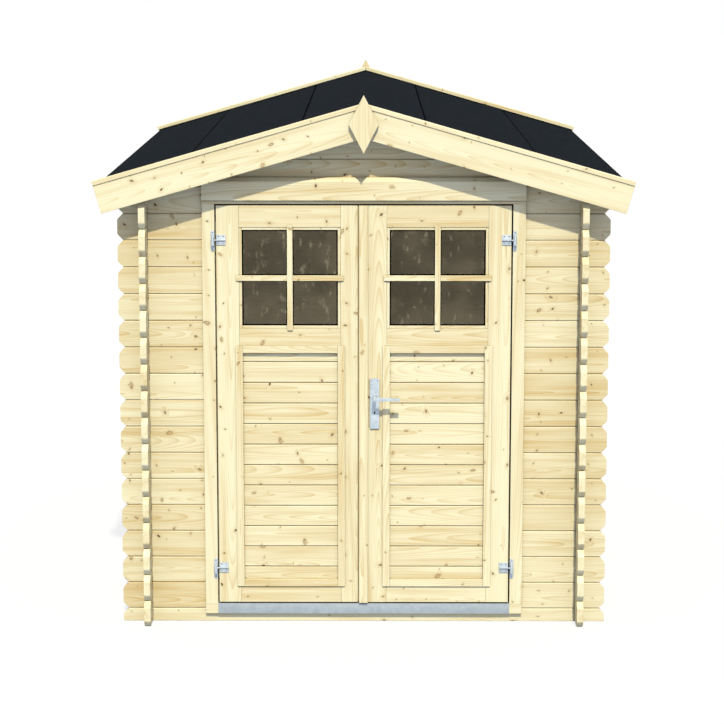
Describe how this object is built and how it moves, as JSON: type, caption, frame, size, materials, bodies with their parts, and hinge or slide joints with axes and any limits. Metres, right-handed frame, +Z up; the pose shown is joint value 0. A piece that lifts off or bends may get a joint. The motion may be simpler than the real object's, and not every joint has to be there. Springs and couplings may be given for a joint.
{
  "type": "wooden garden shed",
  "caption": "Garden shed of interlocking log boards with crossing corners, a felted gable roof with fascia boards and finials, and half-glazed double doors.",
  "frame": {"origin": "on the ground at the middle of the shed's plan", "axes": "+Z up, the doors face -Y, +X to the right as seen from the front"},
  "size_m": [2.2808, 2.784, 2.3094],
  "materials": {
    "log_wood": "untreated spruce",
    "planed_wood": "planed spruce",
    "joinery_wood": "planed spruce",
    "roof_felt": "black mineral roofing felt",
    "ironwork": "bright zinc plate",
    "sill_metal": "mill finish",
    "pane": "clear"
  },
  "bodies": {
    "shed": {"floor_bearers": "planed_wood", "floor_deck": "planed_wood", "left_wall": "log_wood", "right_wall": "log_wood", "rear_wall": "log_wood", "rear_gable": "log_wood", "front_bottom_log": "log_wood", "front_wall_left": "log_wood", "front_wall_right": "log_wood", "front_gable": "log_wood", "ridge_purlin": "planed_wood", "side_purlins": "planed_wood", "roof_deck_left": "planed_wood", "roof_deck_right": "planed_wood", "felt_lower": "roof_felt", "felt_middle": "roof_felt", "felt_ridge": "roof_felt", "front_fascia": "planed_wood", "rear_fascia": "planed_wood", "front_cover_strips": "planed_wood", "rear_cover_strips": "planed_wood", "front_finial": "planed_wood", "rear_finial": "planed_wood", "door_sill": "joinery_wood", "sill_plate": "sill_metal", "door_jamb_left": "joinery_wood", "door_jamb_right": "joinery_wood", "door_head": "joinery_wood", "door_header_board": "joinery_wood", "frame_hinges": "ironwork"},
    "left_door": {"left_door_frame": "joinery_wood", "left_door_panel": "joinery_wood", "left_door_mould": "joinery_wood", "left_door_glass": "pane", "left_door_beads": "joinery_wood", "left_door_hinges": "ironwork"},
    "right_door": {"right_door_frame": "joinery_wood", "right_door_panel": "joinery_wood", "right_door_mould": "joinery_wood", "right_door_glass": "pane", "right_door_beads": "joinery_wood", "right_door_hinges": "ironwork", "meeting_strip": "joinery_wood", "lock_plates": "ironwork"},
    "handle": {"door_handle": "ironwork"}
  },
  "joints": [
    {"name": "left_door_hinge", "type": "hinge", "parent": "shed", "child": "left_door", "pos_m": [-0.6425, -1.2765, 0.954], "axis": [0, 0, -1], "range_deg": [0, 150]},
    {"name": "right_door_hinge", "type": "hinge", "parent": "shed", "child": "right_door", "pos_m": [0.6425, -1.2765, 0.954], "axis": [0, 0, 1], "range_deg": [0, 150]},
    {"name": "lever_turn", "type": "hinge", "parent": "right_door", "child": "handle", "pos_m": [0.047, -1.246, 1.005], "axis": [0, 1, 0], "range_deg": [0, 40], "stiffness_Nm_per_rad": 2, "springref_deg": -28.65}
  ]
}
